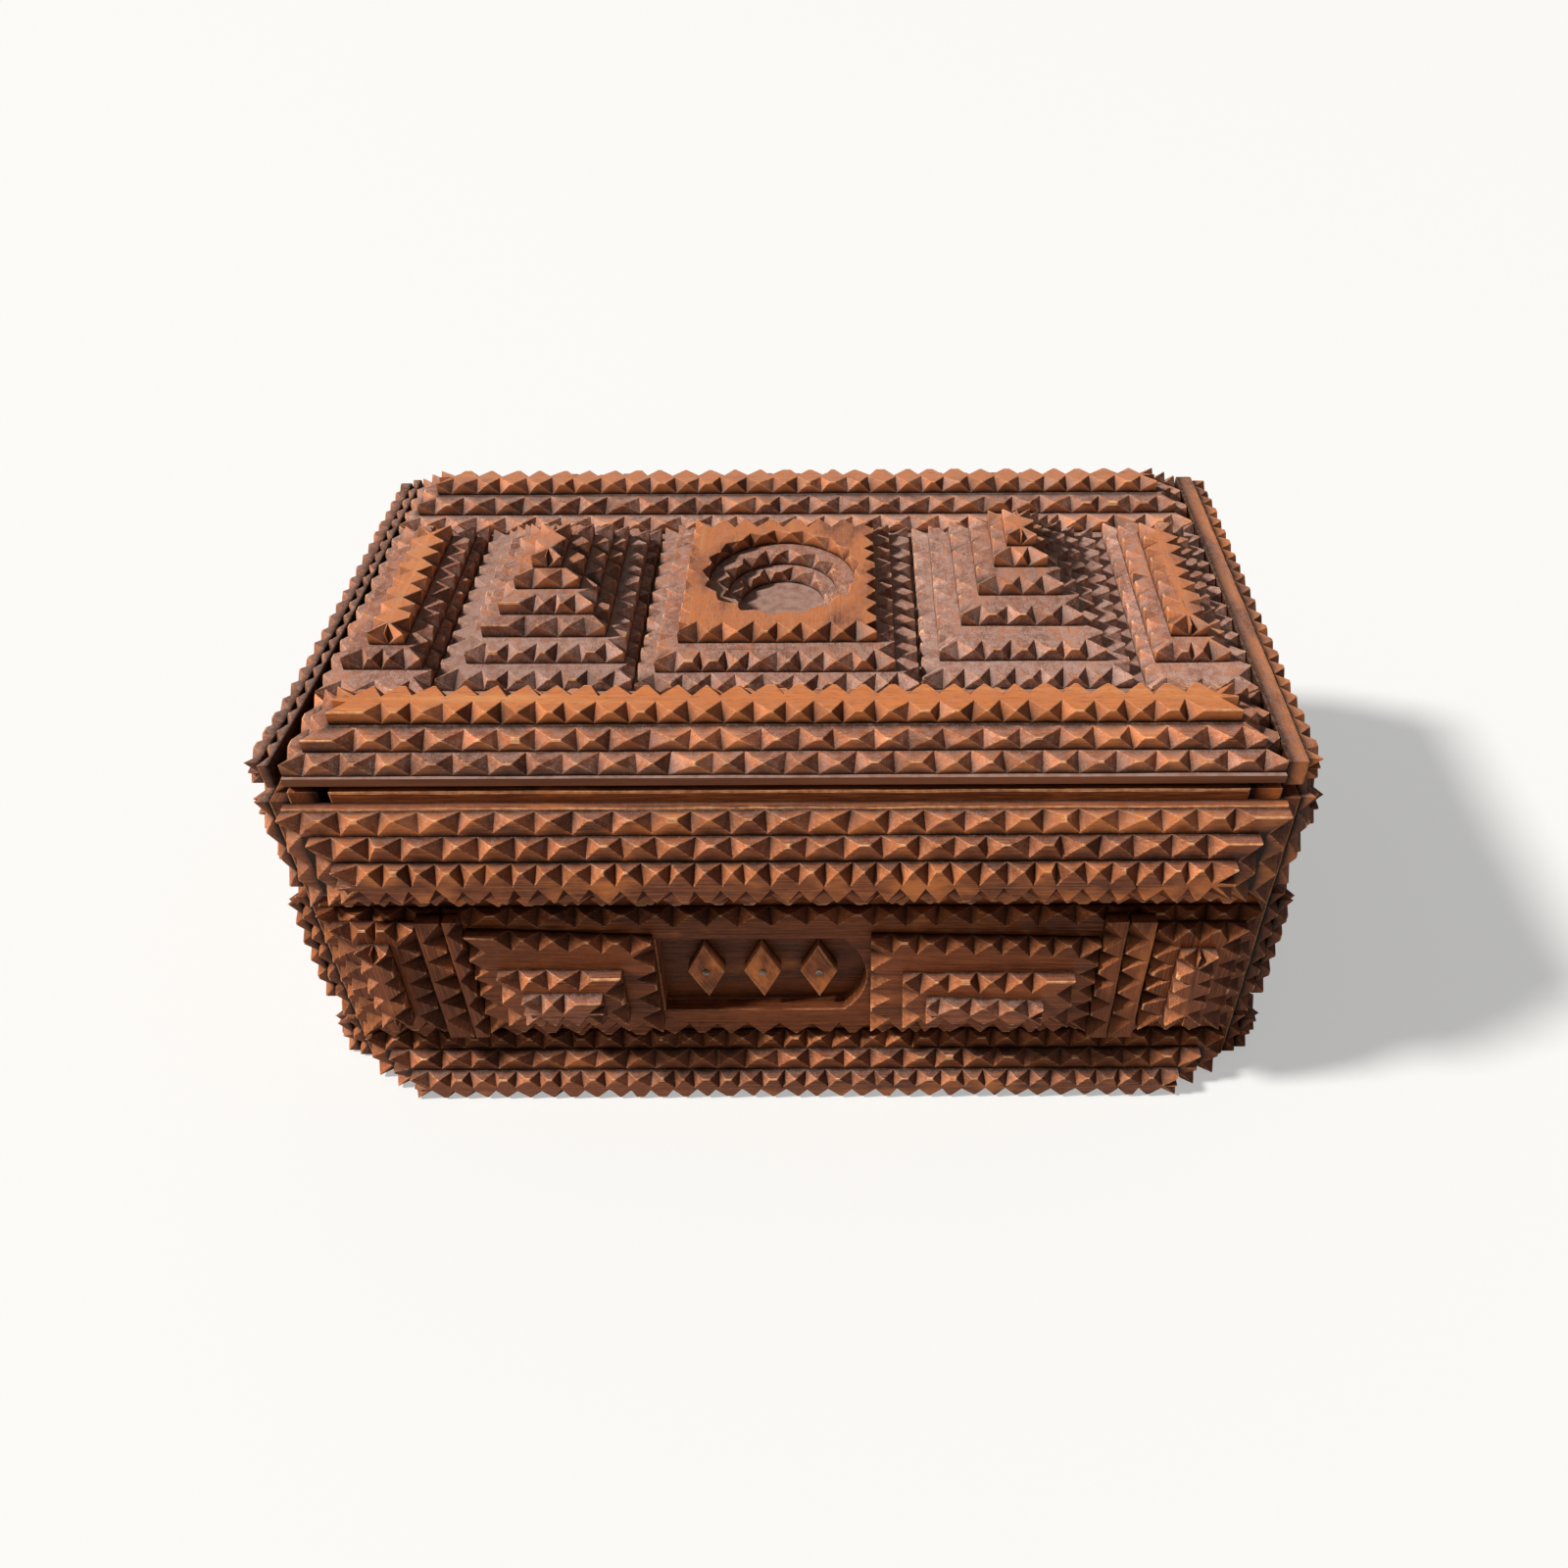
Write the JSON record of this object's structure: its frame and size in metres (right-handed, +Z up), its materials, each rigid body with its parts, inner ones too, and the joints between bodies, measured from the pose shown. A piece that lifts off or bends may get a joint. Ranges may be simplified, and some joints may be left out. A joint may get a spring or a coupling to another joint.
{
  "type": "cigar box",
  "caption": "Layered wooden cigar box with notch-carved pyramids on every side and a hinged lid, for cigars, papers and keepsakes",
  "frame": {"origin": "centre of the box's footprint, on the surface it stands on", "axes": "+X to the right along the long side, -Y out of the front, +Z up"},
  "size_m": [0.2616, 0.1708, 0.127],
  "materials": {
    "carved_wood": "reddish-brown varnished cedar, satin, worn orange at the tips",
    "plain_wood": "reddish-brown cedar, satin",
    "brass": "aged brass",
    "nail_steel": "dull steel"
  },
  "bodies": {
    "box": {"back_backing": "plain_wood", "back_field_board": "carved_wood", "back_tier_1": "carved_wood", "back_tier_2": "carved_wood", "back_tier_3": "carved_wood", "core_back": "plain_wood", "core_ends": "plain_wood", "core_floor": "plain_wood", "core_front": "plain_wood", "end_backings": "plain_wood", "end_base_rails_1": "carved_wood", "end_base_rails_2": "carved_wood", "end_base_rails_3": "carved_wood", "end_field_boards": "carved_wood", "end_tier_1": "carved_wood", "end_tier_2": "carved_wood", "end_top_rails_1": "carved_wood", "end_top_rails_2": "carved_wood", "end_top_rails_3": "carved_wood", "front_backing": "plain_wood", "front_field_board": "carved_wood", "front_tier_1": "carved_wood", "front_tier_2": "carved_wood", "front_tier_3": "carved_wood", "hinge_body_leaves": "brass", "hinge_body_screws": "brass", "hinge_pins": "brass", "long_base_rails_1": "carved_wood", "long_base_rails_2": "carved_wood", "long_base_rails_3": "carved_wood", "long_top_rails_1": "carved_wood", "long_top_rails_2": "carved_wood", "long_top_rails_3": "carved_wood", "window_lozenges": "plain_wood", "window_nails": "nail_steel"},
    "lid": {"bowl_board_1": "carved_wood", "bowl_board_2": "carved_wood", "bowl_board_3": "carved_wood", "hinge_lid_leaves": "brass", "hinge_lid_screws": "brass", "lid_back_rail_1": "carved_wood", "lid_back_rail_2": "carved_wood", "lid_back_rail_3": "carved_wood", "lid_board": "plain_wood", "lid_end_rails": "plain_wood", "lid_end_strips": "carved_wood", "lid_front_rail_1": "carved_wood", "lid_front_rail_2": "carved_wood", "lid_front_rail_3": "carved_wood", "lid_side_rails": "carved_wood", "lid_side_tier_1": "carved_wood", "lid_side_tier_2": "carved_wood", "pyramid_tier_1": "carved_wood", "pyramid_tier_2": "carved_wood", "pyramid_tier_3": "carved_wood", "pyramid_tier_4": "carved_wood", "pyramid_tier_5": "carved_wood", "pyramid_tier_6": "carved_wood"}
  },
  "joints": [
    {"name": "lid_hinge", "type": "hinge", "parent": "box", "child": "lid", "pos_m": [0, 0.0701, 0.10115], "axis": [-1, 0, 0], "range_deg": [0, 110]}
  ]
}
